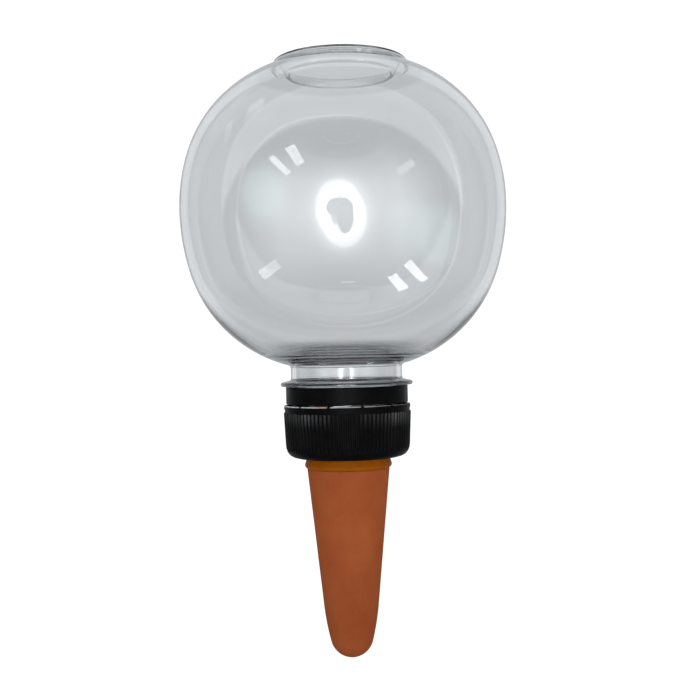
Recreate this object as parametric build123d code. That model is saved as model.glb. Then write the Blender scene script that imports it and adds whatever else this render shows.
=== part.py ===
from build123d import *

import os
from math import acos, cos, degrees, radians, sin, tan

# A watering globe: a clear blown globe stands upside down on a hollow clay spike, with a ribbed screw cap between.
# Sizes are millimetres and degrees. +Z is up, along the axis that every piece is turned about.
# The origin is the middle of the cap's underside, which meets the soil when the spike is pushed in.

# Neck finish of the globe, from its rim up to the support ring and the plain neck
FINISH_DIAMETER = 35.0
FINISH_HEIGHT = 17.1
FINISH_WALL = 1.4
NECK_WALL = 1.65
NECK_HEIGHT = 4.5
NECK_ROOT_RADIUS = 1.0
NECK_THROAT_RADIUS = 2.0
RIM_EDGE_RADIUS = 0.4
THREAD_DEPTH = 0.8
THREAD_CLEARANCE = 0.2
SUPPORT_RING_REACH = 3.5
SUPPORT_RING_RIM = 1.2
SUPPORT_RING_ROOT = 2.0
SUPPORT_RING_EDGE_RADIUS = 0.35
SNAP_BEAD_STAND = 0.7
SNAP_BEAD_RAMP = 1.3
SNAP_BEAD_LAND = 0.4
SNAP_BEAD_DROP = 2.6

# Globe: a side arc and a shoulder arc each way from its equator, then the foot that it stands on when it is filled
GLOBE_DIAMETER = 103.3
GLOBE_WALL = 0.8
LOWER_SIDE_RADIUS = 70.7
LOWER_SIDE_TURN = 16.3
LOWER_SHOULDER_RADIUS = 43.8
UPPER_SIDE_RADIUS = 56.9
UPPER_SIDE_TURN = 17.8
UPPER_SHOULDER_RADIUS = 42.0
FOOT_DIAMETER = 42.6
FOOT_RISE = 2.2
FOOT_LAND = 2.8
FOOT_EDGE_RADIUS = 1.1
FOOT_ROOT_RADIUS = 1.0
PUSH_UP_DEPTH = 4.0
PUSH_UP_LEAN = 25.4
PUSH_UP_EDGE_RADIUS = 1.0
BASE_WALL = 1.2

# Screw cap, with gripping ribs, a smooth bead round its mouth and the bridges that hold the tamper band
CAP_END_WALL = 2.1
CAP_WALL = 0.75
CAP_DRAFT = 2.6
CAP_CORNER_RADIUS = 3.0
CAP_ROOT_RADIUS = 1.0
CAP_BEAD_HEIGHT = 1.2
CAP_BEAD_STAND = 0.2
CAP_BEAD_RADIUS = 0.35
CAP_BEAD_GROOVE = 1.1
RIB_COUNT = 90
RIB_DEPTH = 0.35
RIB_GAP = 0.7
BRIDGE_COUNT = 12
BRIDGE_WIDTH = 0.8
BRIDGE_HEIGHT = 0.4
BRIDGE_INSET = 0.1
BRIDGE_ANGLE = 13.7

# Tamper band, whose inner lip catches behind the snap bead on the neck
BAND_HEIGHT = 5.45
BAND_WALL = 0.9
BAND_EDGE_RADIUS = 0.25
BAND_CLEARANCE = 0.15
LIP_CLEARANCE = 0.3
LIP_LAND = 0.5
LIP_RAMP = 1.2

# Clay spike: a flange held inside the cap, a seat for the seal ring, a long cone and a rounded nose
FLANGE_THICKNESS = 2.5
FLANGE_CLEARANCE = 1.2
FLANGE_EDGE_RADIUS = 0.6
SPIKE_DIAMETER = 26.3
SPIKE_WALL = 3.0
SPIKE_TAPER = 5.75
SPIKE_CONE_LENGTH = 43.25
NOSE_SIDE_RADIUS = 83.6
NOSE_SIDE_TURN = 8.25
HOLE_CLEARANCE = 0.15

# Seal ring in its seat under the cap, and the gasket between the flange and the rim of the neck
SEAL_HEIGHT = 3.5
SEAL_SEAT_DEPTH = 0.7
SEAL_CLEARANCE = 0.05
SEAL_OVERHANG = 0.7
SEAL_TOP_OVERHANG = 0.5
SEAL_BULGE_DROP = 2.2
GASKET_THICKNESS = 1.0
GASKET_WIDTH = 2.7

# Radii that several pieces share
FINISH_RADIUS = FINISH_DIAMETER / 2
NECK_BORE_RADIUS = FINISH_RADIUS - FINISH_WALL
NECK_RADIUS = NECK_BORE_RADIUS + NECK_WALL
GLOBE_RADIUS = GLOBE_DIAMETER / 2
FOOT_RADIUS = FOOT_DIAMETER / 2
SPIKE_RADIUS = SPIKE_DIAMETER / 2
CAP_BORE_RADIUS = FINISH_RADIUS + THREAD_DEPTH + THREAD_CLEARANCE
CAP_HOLE_RADIUS = SPIKE_RADIUS + HOLE_CLEARANCE

# Levels, stacked up from the cap's underside
GASKET_Z = CAP_END_WALL + FLANGE_THICKNESS
RIM_Z = GASKET_Z + GASKET_THICKNESS
SUPPORT_Z = RIM_Z + FINISH_HEIGHT
SNAP_Z = SUPPORT_Z - SNAP_BEAD_DROP
BAND_TOP_Z = SUPPORT_Z - BAND_CLEARANCE
BAND_Z = BAND_TOP_Z - BAND_HEIGHT
CAP_TOP_Z = BAND_Z - BRIDGE_HEIGHT
NECK_Z = SUPPORT_Z + SUPPORT_RING_ROOT
SHOULDER_Z = NECK_Z + NECK_HEIGHT


def turned(*corners):
    """A piece turned about the axis from the corners of its section, each a radius, a height and a rounding."""
    points = [(radius, height) for radius, height, rounding in corners]
    roundings = [rounding for radius, height, rounding in corners]
    section = make_face(FilletPolyline(*points, radius=roundings, close=True).edges())
    return revolve(Plane.XZ * section, Axis.Z)


def rounded(section, radius, *corners):
    """The section with the corners nearest to the given points rounded."""
    picked = [min(section.vertices(), key=lambda v: abs(v.X - x) + abs(v.Y - y)) for x, y in corners]
    return fillet(picked, radius)


def shoulder_arc(side_radius, side_turn, shoulder_radius, end_radius):
    """Centre of a shoulder arc, out and along from the globe's centre, and the turn at which it reaches end_radius."""
    step = side_radius - shoulder_radius
    out = GLOBE_RADIUS - side_radius + step * cos(radians(side_turn))
    along = step * sin(radians(side_turn))
    return out, along, degrees(acos((end_radius - out) / shoulder_radius))


def globe_side(direction, equator, side_radius, side_turn, shoulder_radius, inset, end_radius):
    """The side and shoulder arcs of the globe's wall, up or down from the equator as far as end_radius."""
    out, along, _ = shoulder_arc(side_radius, side_turn, shoulder_radius, end_radius)
    end_turn = degrees(acos((end_radius - out) / (shoulder_radius - inset)))
    side = CenterArc((GLOBE_RADIUS - side_radius, equator), side_radius - inset, 0, direction * side_turn)
    shoulder = CenterArc(
        (out, equator + direction * along),
        shoulder_radius - inset,
        direction * side_turn,
        direction * (end_turn - side_turn),
    )
    return [side, shoulder]


def globe():
    """The blown globe with its neck finish and foot, as one wall turned about the axis."""
    lower = (LOWER_SIDE_RADIUS, LOWER_SIDE_TURN, LOWER_SHOULDER_RADIUS)
    upper = (UPPER_SIDE_RADIUS, UPPER_SIDE_TURN, UPPER_SHOULDER_RADIUS)
    _, along, turn = shoulder_arc(*lower, NECK_RADIUS)
    equator = SHOULDER_Z + along + LOWER_SHOULDER_RADIUS * sin(radians(turn))

    # Outside, from the rim up to the neck, round the globe and into the hollow of the foot
    snap_radius = FINISH_RADIUS + SNAP_BEAD_STAND
    ring_radius = FINISH_RADIUS + SUPPORT_RING_REACH
    ramp_z = SNAP_Z - SNAP_BEAD_LAND - SNAP_BEAD_RAMP
    finish = Polyline(
        (FINISH_RADIUS, RIM_Z),
        (FINISH_RADIUS, ramp_z),
        (snap_radius, SNAP_Z - SNAP_BEAD_LAND),
        (snap_radius, SNAP_Z),
        (FINISH_RADIUS, SNAP_Z),
        (FINISH_RADIUS, SUPPORT_Z),
        (ring_radius, SUPPORT_Z),
        (ring_radius, SUPPORT_Z + SUPPORT_RING_RIM),
        (NECK_RADIUS, NECK_Z),
        (NECK_RADIUS, SHOULDER_Z),
    )
    outside = [
        *globe_side(-1, equator, *lower, 0, NECK_RADIUS),
        *globe_side(1, equator, *upper, 0, FOOT_RADIUS),
    ]
    foot_z = (outside[-1] @ 1).Y
    stand_z = foot_z + FOOT_RISE
    push_up_z = stand_z - PUSH_UP_DEPTH
    mouth_radius = FOOT_RADIUS - FOOT_LAND
    push_up_radius = mouth_radius - PUSH_UP_DEPTH * tan(radians(PUSH_UP_LEAN))
    foot = Polyline(
        (FOOT_RADIUS, foot_z),
        (FOOT_RADIUS, stand_z),
        (mouth_radius, stand_z),
        (push_up_radius, push_up_z),
        (0, push_up_z),
    )

    # Inside, one wall away, from the middle of the base back down to the bore of the neck
    inner_foot_radius = FOOT_RADIUS - GLOBE_WALL
    inside = [
        *globe_side(-1, equator, *lower, GLOBE_WALL, NECK_BORE_RADIUS),
        *globe_side(1, equator, *upper, GLOBE_WALL, inner_foot_radius),
    ]
    throat_z = (inside[1] @ 1).Y
    inner_foot_z = (inside[-1] @ 1).Y
    inner_base = Polyline(
        (inner_foot_radius, inner_foot_z),
        (inner_foot_radius, stand_z - GLOBE_WALL),
        (mouth_radius + GLOBE_WALL, stand_z - GLOBE_WALL),
        (push_up_radius + GLOBE_WALL, push_up_z - BASE_WALL),
        (0, push_up_z - BASE_WALL),
        (0, push_up_z),
    )
    bore = Polyline((NECK_BORE_RADIUS, throat_z), (NECK_BORE_RADIUS, RIM_Z), (FINISH_RADIUS, RIM_Z))

    pieces = [finish, *outside, foot, *inside, inner_base, bore]
    section = make_face([edge for piece in pieces for edge in piece.edges()])
    section = rounded(section, RIM_EDGE_RADIUS, (FINISH_RADIUS, RIM_Z), (NECK_BORE_RADIUS, RIM_Z))
    ring_corners = [(ring_radius, SUPPORT_Z), (ring_radius, SUPPORT_Z + SUPPORT_RING_RIM)]
    section = rounded(section, SUPPORT_RING_EDGE_RADIUS, *ring_corners)
    section = rounded(section, NECK_ROOT_RADIUS, (NECK_RADIUS, SHOULDER_Z))
    section = rounded(section, NECK_THROAT_RADIUS, (NECK_BORE_RADIUS, throat_z))
    section = rounded(section, FOOT_ROOT_RADIUS, (FOOT_RADIUS, foot_z), (inner_foot_radius, inner_foot_z))
    section = rounded(section, FOOT_EDGE_RADIUS, (FOOT_RADIUS, stand_z))
    section = rounded(section, PUSH_UP_EDGE_RADIUS, (mouth_radius, stand_z), (push_up_radius, push_up_z))
    return revolve(Plane.XZ * section, Axis.Z)


def rib_root_radius(height):
    """Outside radius of the cap in the gaps between its ribs, at a height on its drafted skirt."""
    return CAP_BORE_RADIUS + CAP_WALL + height * tan(radians(CAP_DRAFT))


def screw_cap():
    """The ribbed cap with its spike hole, and the short bridges that stand on its mouth."""
    bead_z = CAP_TOP_Z - CAP_BEAD_HEIGHT
    rib_top_z = bead_z - CAP_BEAD_GROOVE
    groove_radius = rib_root_radius(rib_top_z)
    bead_radius = groove_radius + CAP_BEAD_STAND
    cup = turned(
        (CAP_HOLE_RADIUS, 0, 0),
        (rib_root_radius(0) + RIB_DEPTH, 0, CAP_CORNER_RADIUS),
        (groove_radius + RIB_DEPTH, rib_top_z, 0),
        (groove_radius, rib_top_z, 0),
        (groove_radius, bead_z, 0),
        (bead_radius, bead_z, 0),
        (bead_radius, CAP_TOP_Z, CAP_BEAD_RADIUS),
        (CAP_BORE_RADIUS, CAP_TOP_Z, 0),
        (CAP_BORE_RADIUS, CAP_END_WALL, CAP_ROOT_RADIUS),
        (CAP_HOLE_RADIUS, CAP_END_WALL, 0),
    )

    # Each gap between two ribs runs down the skirt at the root radius, and fades out on the rounded corner
    outer = bead_radius + RIB_DEPTH
    gap_section = Polyline(
        (rib_root_radius(0), 0),
        (groove_radius, rib_top_z),
        (outer, rib_top_z),
        (outer, 0),
        close=True,
    )
    gap = extrude(Plane.XZ * make_face(gap_section.edges()), RIB_GAP / 2, both=True)
    cup -= [turn * gap for turn in PolarLocations(0, RIB_COUNT)]

    bridge_length = BAND_WALL - 2 * BRIDGE_INSET
    bridge = Box(bridge_length, BRIDGE_WIDTH, BRIDGE_HEIGHT, align=(Align.CENTER, Align.CENTER, Align.MIN))
    ring = PolarLocations(CAP_BORE_RADIUS + BAND_WALL / 2, BRIDGE_COUNT, start_angle=BRIDGE_ANGLE - 90)
    return cup + [Pos(0, 0, CAP_TOP_Z) * place * bridge for place in ring]


def tamper_band():
    """The band left on the neck when the cap is first opened, with its inner lip above the snap bead."""
    band_radius = CAP_BORE_RADIUS + BAND_WALL
    lip_radius = FINISH_RADIUS + LIP_CLEARANCE
    lip_z = SNAP_Z + LIP_CLEARANCE
    return turned(
        (CAP_BORE_RADIUS, BAND_Z, 0),
        (band_radius, BAND_Z, BAND_EDGE_RADIUS),
        (band_radius, BAND_TOP_Z, BAND_EDGE_RADIUS),
        (CAP_BORE_RADIUS, BAND_TOP_Z, 0),
        (CAP_BORE_RADIUS, lip_z + LIP_LAND + LIP_RAMP, 0),
        (lip_radius, lip_z + LIP_LAND, 0),
        (lip_radius, lip_z, 0),
        (CAP_BORE_RADIUS, lip_z, 0),
    )


def nose(inset):
    """The cone and rounded nose of the spike, inset by a wall, from the end of the seal ring's seat to the tip."""
    lean = radians(SPIKE_TAPER)
    nose_lean = radians(SPIKE_TAPER + NOSE_SIDE_TURN)
    end_radius = SPIKE_RADIUS - SPIKE_CONE_LENGTH * tan(lean)
    end_z = -SEAL_HEIGHT - SPIKE_CONE_LENGTH
    out = end_radius - NOSE_SIDE_RADIUS * cos(lean)
    along = end_z + NOSE_SIDE_RADIUS * sin(lean)
    tip_radius = (out + NOSE_SIDE_RADIUS * cos(nose_lean)) / cos(nose_lean)
    tip_z = along - (NOSE_SIDE_RADIUS - tip_radius) * sin(nose_lean)
    side = CenterArc((out, along), NOSE_SIDE_RADIUS - inset, -SPIKE_TAPER, -NOSE_SIDE_TURN)
    tip_turn = SPIKE_TAPER + NOSE_SIDE_TURN
    tip = CenterArc((0, tip_z), tip_radius - inset, -tip_turn, tip_turn - 90)
    top_radius = SPIKE_RADIUS - inset / cos(lean)
    return [Line((top_radius, -SEAL_HEIGHT), side @ 0), side, tip]


def terracotta_spike():
    """The hollow clay spike, with an even wall, hung by its flange on the cap's end wall."""
    flange_radius = CAP_BORE_RADIUS - FLANGE_CLEARANCE
    seat_radius = SPIKE_RADIUS - SEAL_SEAT_DEPTH
    outside = nose(0)
    inside = nose(SPIKE_WALL)
    bore = inside[0] @ 0
    top = Polyline(
        outside[0] @ 0,
        (seat_radius, -SEAL_HEIGHT),
        (seat_radius, 0),
        (SPIKE_RADIUS, 0),
        (SPIKE_RADIUS, CAP_END_WALL),
        (flange_radius, CAP_END_WALL),
        (flange_radius, GASKET_Z),
        (bore.X, GASKET_Z),
        bore,
    )
    axis = Line(outside[-1] @ 1, inside[-1] @ 1)
    section = make_face([*top.edges(), *outside, *inside, axis])
    section = rounded(section, FLANGE_EDGE_RADIUS, (bore.X, GASKET_Z))
    return revolve(Plane.XZ * section, Axis.Z)


def seal_ring():
    """The rubber ring in its seat on the spike, bulging out under the cap."""
    bore_radius = SPIKE_RADIUS - SEAL_SEAT_DEPTH + SEAL_CLEARANCE
    bulge = ThreePointArc(
        (SPIKE_RADIUS + SEAL_TOP_OVERHANG, 0),
        (SPIKE_RADIUS + SEAL_OVERHANG, -SEAL_BULGE_DROP),
        (SPIKE_RADIUS, -SEAL_HEIGHT),
    )
    back = Polyline(bulge @ 1, (bore_radius, -SEAL_HEIGHT), (bore_radius, 0), bulge @ 0)
    return revolve(Plane.XZ * make_face([bulge, *back.edges()]), Axis.Z)


def gasket():
    """The flat gasket that the rim of the neck presses on to the flange."""
    bore_radius = FINISH_RADIUS - GASKET_WIDTH
    return turned(
        (bore_radius, GASKET_Z, 0),
        (FINISH_RADIUS, GASKET_Z, 0),
        (FINISH_RADIUS, RIM_Z, 0),
        (bore_radius, RIM_Z, 0),
    )


os.makedirs("parts", exist_ok=True)
for make in (globe, screw_cap, tamper_band, terracotta_spike, seal_ring, gasket):
    export_step(make(), f"parts/{make.__name__}.step")
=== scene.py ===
from math import acos, atan2, cos, floor, hypot, pi, radians, sin, tan

import bmesh
import bpy
import numpy as np
from mathutils import Matrix, Vector, noise


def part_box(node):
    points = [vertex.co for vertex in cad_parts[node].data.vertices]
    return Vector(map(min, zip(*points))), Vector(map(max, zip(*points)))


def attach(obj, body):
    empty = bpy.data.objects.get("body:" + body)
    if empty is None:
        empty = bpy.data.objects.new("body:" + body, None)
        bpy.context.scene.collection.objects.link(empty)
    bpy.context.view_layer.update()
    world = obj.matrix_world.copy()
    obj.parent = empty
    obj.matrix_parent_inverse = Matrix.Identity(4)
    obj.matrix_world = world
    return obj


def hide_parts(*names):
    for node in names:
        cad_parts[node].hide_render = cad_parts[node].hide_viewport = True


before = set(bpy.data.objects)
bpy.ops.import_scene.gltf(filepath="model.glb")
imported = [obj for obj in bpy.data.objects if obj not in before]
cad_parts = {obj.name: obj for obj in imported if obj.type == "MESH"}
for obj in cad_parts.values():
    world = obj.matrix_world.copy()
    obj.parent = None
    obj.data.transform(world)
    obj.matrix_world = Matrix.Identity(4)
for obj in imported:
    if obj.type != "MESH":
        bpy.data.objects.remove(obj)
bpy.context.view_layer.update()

# Sizes are millimetres and degrees, as on the solids, and become metres only where a mesh is made
MM = 0.001


def extent(node):
    """Outer radius, lowest level and highest level of a turned node."""
    low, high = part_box(node)
    return high.x / MM, low.z / MM, high.z / MM


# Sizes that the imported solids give
GLOBE_RADIUS, RIM_Z, STAND_Z = extent("globe")
CAP_RADIUS, _, BAND_Z = extent("screw_cap")
BAND_RADIUS, _, BAND_TOP_Z = extent("tamper_band")
FLANGE_RADIUS, TIP_Z, GASKET_Z = extent("terracotta_spike")
_, SEAL_Z, _ = extent("seal_ring")
FINISH_RADIUS, _, _ = extent("gasket")

# Neck finish of the globe. A cut is the length that a rounded corner takes off each of its two sides
FINISH_WALL = 1.4
NECK_STEP = 0.25
NECK_HEIGHT = 4.5
NECK_ROOT_CUT = 0.8
THROAT_CUT = 2.4
RIM_CUT = 0.4
RING_REACH = 3.5
RING_RIM = 1.2
RING_ROOT = 2.0
RING_CUT = 0.55
RING_ROOT_CUT = 0.5
SNAP_STAND = 0.7
SNAP_RAMP = 1.3
SNAP_LAND = 0.4
SNAP_DROP = 2.6
SNAP_CUT = 0.2

# Blown wall and foot of the globe
LOWER_SIDE = dict(side_radius=70.7, side_turn=16.3, shoulder_radius=43.8)
UPPER_SIDE = dict(side_radius=56.9, side_turn=17.8, shoulder_radius=42.0)
WALL = 0.5
NECK_WALL = 1.6
WALL_GROWTH_START = 25.0
FOOT_RADIUS = 21.3
FOOT_LAND = 2.8
FOOT_ROOT_CUT = 0.9
FOOT_EDGE_CUT = 1.2
FOOT_WALL = 0.7
INNER_EDGE_CUT = 0.6
PUSH_UP_DEPTH = 4.0
PUSH_UP_RADIUS = 16.6
PUSH_UP_EDGE_CUT = 1.3
PUSH_UP_CUT = 0.8
RIPPLE_DEPTH = 0.1
RIPPLE_PITCH = 2.4
RIPPLE_REACH = 11.0

# How dark the clear plastic's painted shade is, from 0 to 1, and where the painted dark shoulder over the
# neck ends
SHOULDER_SHADE_HEIGHT = 2.0
SHOULDER_SHADE_FADE = 2.8
RING_SHADE = 1.0
NECK_SHADE = 0.12
FOOT_SHADE = 0.16

# Screw thread: three starts, right-handed. Crest, flank and offset are shares of the pitch
THREAD_LEAD = 9.6
THREAD_STARTS = 3
THREAD_DEPTH = 0.75
THREAD_CREST = 0.22
THREAD_FLANK = 0.16
THREAD_FADE = 1.0
NECK_THREAD = (1.2, 12.0)
NECK_THREAD_OFFSET = 0.0
CAP_THREAD = (5.7, 15.7)
CAP_THREAD_OFFSET = 0.5

# Cap. A rib's half width and flank are shares of the pitch
CAP_END_WALL = 2.1
CAP_DRAFT = 2.6
CAP_CORNER_CUT = 4.2
CAP_ROOT_CUT = 1.1
CAP_EDGE_CUT = 0.12
BEAD_HEIGHT = 1.2
BEAD_STAND = 0.2
BEAD_CUT = 0.3
BEAD_GROOVE = 1.1
RIB_COUNT = 90
RIB_DEPTH = 0.35
RIB_HALF_WIDTH = 0.34
RIB_FLANK = 0.16
BRIDGE_COUNT = 12
BRIDGE_WIDTH = 0.8
BRIDGE_HEIGHT = 0.4
BRIDGE_INSET = 0.1
BRIDGE_ANGLE = 13.7
BRIDGE_SINK = 0.05
BRIDGE_CUT = 0.08

# Painted light on the cap: a painted highlight along its slit top edge, and painted highlights on its rib
# tops
SLIT_EDGE = 0.4
SLIT_MEAN = 0.62
SLIT_SWING = 0.38
SLIT_FADE = 0.2
RIB_LIGHT_LENGTH = 5.0
RIB_LIGHT_MEAN = 0.75
RIB_LIGHT_SPREAD = 0.8
RIB_LIGHT_NOISE_STEP = 1.7
RIB_LIGHT_NOISE_ROW = 0.3
RIB_LIGHT_SIDES = 4

# Tamper band
BAND_WALL = 0.9
BAND_CLEARANCE = 0.15
BAND_CUT = 0.25
LIP_CLEARANCE = 0.3
LIP_LAND = 0.5
LIP_RAMP = 1.2
LIP_CUT = 0.1

# Clay spike
SPIKE_RADIUS = 13.15
SPIKE_WALL = 3.0
SPIKE_TAPER = 5.75
SPIKE_CONE_LENGTH = 43.25
NOSE_SIDE_RADIUS = 83.6
NOSE_SIDE_TURN = 8.25
SPIKE_EDGE_CUT = 0.3
HOLE_CLEARANCE = 0.15
CLAY_WAVE = 0.06
CLAY_WAVE_SIZE = 9.0
CLAY_RIPPLE_SIZE = 2.5
CLAY_RIPPLE_SHARE = 0.4
CLAY_STILL_RADIUS = 1.0

# Seal ring and gasket
SEAL_SEAT_DEPTH = 0.7
SEAL_CLEARANCE = 0.05
SEAL_LIP_DROP = 2.7
SEAL_LIP_STAND = 0.85
SEAL_LIP_CUT = 0.7
GASKET_WIDTH = 2.7
GASKET_CUT = 0.15

# Steps round the axis, and along strokes, arcs and rounded corners
GLOBE_STEPS = 168
RING_STEPS = 192
RIB_SAMPLES = 8
STROKE_STEPS = 4
BASE_STEPS = 8
THROAT_STEPS = 24
NECK_SIDE_STEPS = 12
NECK_THREAD_STEPS = 60
CAP_THREAD_STEPS = 48
SKIRT_STEPS = 14
BEAD_STEPS = 10
CONE_STEPS = 40
NOSE_STEPS = 24
ARC_STEPS = 32
SHOULDER_STEPS = 104
CORNER_STEPS = 7
FINE_CORNER_STEPS = 3
FINE_CUT = 0.31
SHARP_ANGLE = 35.0

# Distances within which two points are one, a point is on the axis, and a point is on a wall
SAME_POINT = 1e-4
ON_AXIS = 1e-6
ON_WALL = 1e-3

# Levels and radii that follow from those
SUPPORT_Z = BAND_TOP_Z + BAND_CLEARANCE
SNAP_Z = SUPPORT_Z - SNAP_DROP
NECK_Z = SUPPORT_Z + RING_ROOT
SHOULDER_Z = NECK_Z + NECK_HEIGHT
CAP_TOP_Z = BAND_Z - BRIDGE_HEIGHT
NECK_BORE_RADIUS = FINISH_RADIUS - FINISH_WALL
NECK_RADIUS = FINISH_RADIUS + NECK_STEP
CAP_BORE_RADIUS = BAND_RADIUS - BAND_WALL
BEAD_Z = CAP_TOP_Z - BEAD_HEIGHT
RIB_TOP_Z = BEAD_Z - BEAD_GROOVE
PUSH_UP_Z = STAND_Z - PUSH_UP_DEPTH


def line(start, end, steps=STROKE_STEPS):
    """Points along a straight stroke."""
    return np.linspace(start, end, steps + 1)


def arc(centre, radius, start, end, steps=ARC_STEPS):
    """Points along an arc from a start to an end turn, in radians."""
    turns = np.linspace(start, end, steps + 1)
    return np.column_stack([centre[0] + radius * np.cos(turns), centre[1] + radius * np.sin(turns)])


def trimmed(stroke, start, end):
    """The stroke with a length of its path cut off at each end."""
    path = np.concatenate([[0], np.cumsum(np.hypot(*np.diff(stroke, axis=0).T))])
    inner = [stop for stop in path if start < stop < path[-1] - end]
    stops = [start, *inner, path[-1] - end]
    return np.column_stack([np.interp(stops, path, stroke[:, axis]) for axis in (0, 1)])


def joined(*strokes, closed=False):
    """One outline from strokes in a row. A stroke may carry the cut that rounds the corner at its end."""
    strokes = [stroke if isinstance(stroke, tuple) else (stroke, 0) for stroke in strokes]
    points = []
    for index, (stroke, cut) in enumerate(strokes):
        cut_before = strokes[index - 1][1] if index or closed else 0
        kept = trimmed(stroke, cut_before, cut)
        points.extend(kept)
        if cut:
            following = strokes[(index + 1) % len(strokes)][0]
            after = trimmed(following, cut, 0)[0]
            steps = CORNER_STEPS if cut > FINE_CUT else FINE_CORNER_STEPS
            for t in np.linspace(0, 1, steps + 1)[1:-1]:
                points.append((1 - t) ** 2 * kept[-1] + 2 * t * (1 - t) * stroke[-1] + t ** 2 * after)
    outline = [points[0]]
    for point in points[1:]:
        if np.hypot(*(point - outline[-1])) > SAME_POINT:
            outline.append(point)
    if closed and np.hypot(*(outline[0] - outline[-1])) < SAME_POINT:
        outline.pop()
    return np.array(outline)


def straight(*corners):
    """Straight strokes from corner to corner, each with the cut at its end.

    A corner is a radius, a level and its cut, and may add the steps of the stroke that leads to it.
    """
    strokes = []
    for start, (radius, level, cut, *steps) in zip(corners, corners[1:]):
        strokes.append((line(start[:2], (radius, level), *steps), cut))
    return strokes


def section(*corners):
    """A closed outline from corners, as straight takes them."""
    return joined(*straight(*corners, corners[0]), closed=True)


def even_angles(steps):
    return np.linspace(0, 2 * pi, steps, endpoint=False)


def lathe(name, outline, angles, closed=False, shape=None):
    """A mesh turned about the axis. An outline that isn't closed runs from the axis to the axis.

    shape may change the radius of a point, from its radius, level and angle.
    """
    points = []
    rings = []
    for radius, level in outline:
        if radius < ON_AXIS:
            rings.append([len(points)])
            points.append((0, 0, level * MM))
            continue
        rings.append(range(len(points), len(points) + len(angles)))
        for angle in angles:
            r = shape(radius, level, angle) if shape else radius
            points.append((r * cos(angle) * MM, r * sin(angle) * MM, level * MM))

    faces = []
    for index in range(len(rings) if closed else len(rings) - 1):
        low = rings[index]
        high = rings[(index + 1) % len(rings)]
        for step in range(len(angles)):
            after = (step + 1) % len(angles)
            if len(low) == 1:
                faces.append((low[0], high[after], high[step]))
            elif len(high) == 1:
                faces.append((low[step], low[after], high[0]))
            else:
                faces.append((low[step], low[after], high[after], high[step]))

    mesh = bpy.data.meshes.new(name)
    mesh.from_pydata(points, [], faces)
    return finished(name, mesh)


def finished(name, mesh):
    """The mesh as an object, with its faces turned outwards and shaded smooth between sharp edges."""
    bm = bmesh.new()
    bm.from_mesh(mesh)
    bmesh.ops.recalc_face_normals(bm, faces=bm.faces)
    bm.to_mesh(mesh)
    bm.free()
    mesh.shade_smooth()
    mesh.set_sharp_from_angle(angle=radians(SHARP_ANGLE))
    piece = bpy.data.objects.new(name, mesh)
    bpy.context.collection.objects.link(piece)
    return piece


def mark(piece, name, value):
    """Stores a value at each point of a piece, worked out from the point's radius, level and angle."""
    layer = piece.data.attributes.new(name, "FLOAT", "POINT")
    for vertex, stored in zip(piece.data.vertices, layer.data):
        x, y, z = vertex.co / MM
        stored.value = value(hypot(x, y), z, atan2(y, x))


def smooth_step(value):
    t = min(max(value, 0), 1)
    return t * t * (3 - 2 * t)


def from_middle(turns):
    """How far a number of turns is from the middle of the turn that it is in, from 0 to a half."""
    return abs(turns - floor(turns) - 0.5)


def thread(level, angle, low, high, offset):
    """How far the thread stands at a level and angle, from 0 to 1, with its ends faded out."""
    pitch = THREAD_LEAD / THREAD_STARTS
    away = from_middle((level - THREAD_LEAD * angle / (2 * pi)) / pitch + offset)
    stand = smooth_step((THREAD_CREST / 2 + THREAD_FLANK - away) / THREAD_FLANK)
    return stand * smooth_step((level - low) / THREAD_FADE) * smooth_step((high - level) / THREAD_FADE)


def shoulder_arc(end_radius, side_radius, side_turn, shoulder_radius):
    """Radius of a shoulder arc's centre, its distance from the equator, and the turn where the arc ends."""
    turn = radians(side_turn)
    step = side_radius - shoulder_radius
    out = GLOBE_RADIUS - side_radius + step * cos(turn)
    return out, step * sin(turn), acos((end_radius - out) / shoulder_radius)


def equator_level():
    """Level of the globe's widest ring, from the neck's shoulder up."""
    _, along, end_turn = shoulder_arc(NECK_RADIUS, **LOWER_SIDE)
    return SHOULDER_Z + along + LOWER_SIDE["shoulder_radius"] * sin(end_turn)


def globe_side(direction, equator, end_radius, side_radius, side_turn, shoulder_radius):
    """Points along the side and shoulder arcs, from the equator up or down to end_radius."""
    turn = direction * radians(side_turn)
    out, along, end_turn = shoulder_arc(end_radius, side_radius, side_turn, shoulder_radius)
    centre = (out, equator + direction * along)
    steps = SHOULDER_STEPS if direction < 0 else ARC_STEPS
    side = arc((GLOBE_RADIUS - side_radius, equator), side_radius, 0, turn)
    shoulder = arc(centre, shoulder_radius, turn, direction * end_turn, steps)
    return np.concatenate([side, shoulder[1:]])


def wall_at(radius, level, equator):
    """Thickness of the blown wall, which grows from below the equator to the neck and is rippled there."""
    start = equator - WALL_GROWTH_START
    wall = WALL + (NECK_WALL - WALL) * smooth_step((start - level) / (start - SHOULDER_Z))
    out = radius - NECK_RADIUS
    if level > equator or out > RIPPLE_REACH:
        return wall
    return wall + RIPPLE_DEPTH * (1 - smooth_step(out / RIPPLE_REACH)) * cos(2 * pi * out / RIPPLE_PITCH)


def inset(outside, equator):
    """The inside of the blown wall: each point of the outside moved in by the wall's thickness."""
    along = np.gradient(outside, axis=0)
    along /= np.hypot(*along.T)[:, None]
    thickness = np.array([wall_at(radius, level, equator) for radius, level in outside])
    return outside + np.column_stack([-along[:, 1], along[:, 0]]) * thickness[:, None]


def painted_shade_mark(radius, level, angle):
    """How dark the painted shade is, from 0 to 1: by the neck, in its ring, over the shoulder and round the
    foot.
    """
    if radius < FINISH_RADIUS:
        return 0
    if level > PUSH_UP_Z - FOOT_WALL:
        return FOOT_SHADE
    if level >= SHOULDER_Z:
        return 1 - smooth_step((level - SHOULDER_Z - SHOULDER_SHADE_HEIGHT) / SHOULDER_SHADE_FADE)
    if level < SUPPORT_Z:
        return 0
    return NECK_SHADE if level > NECK_Z else RING_SHADE


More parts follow.
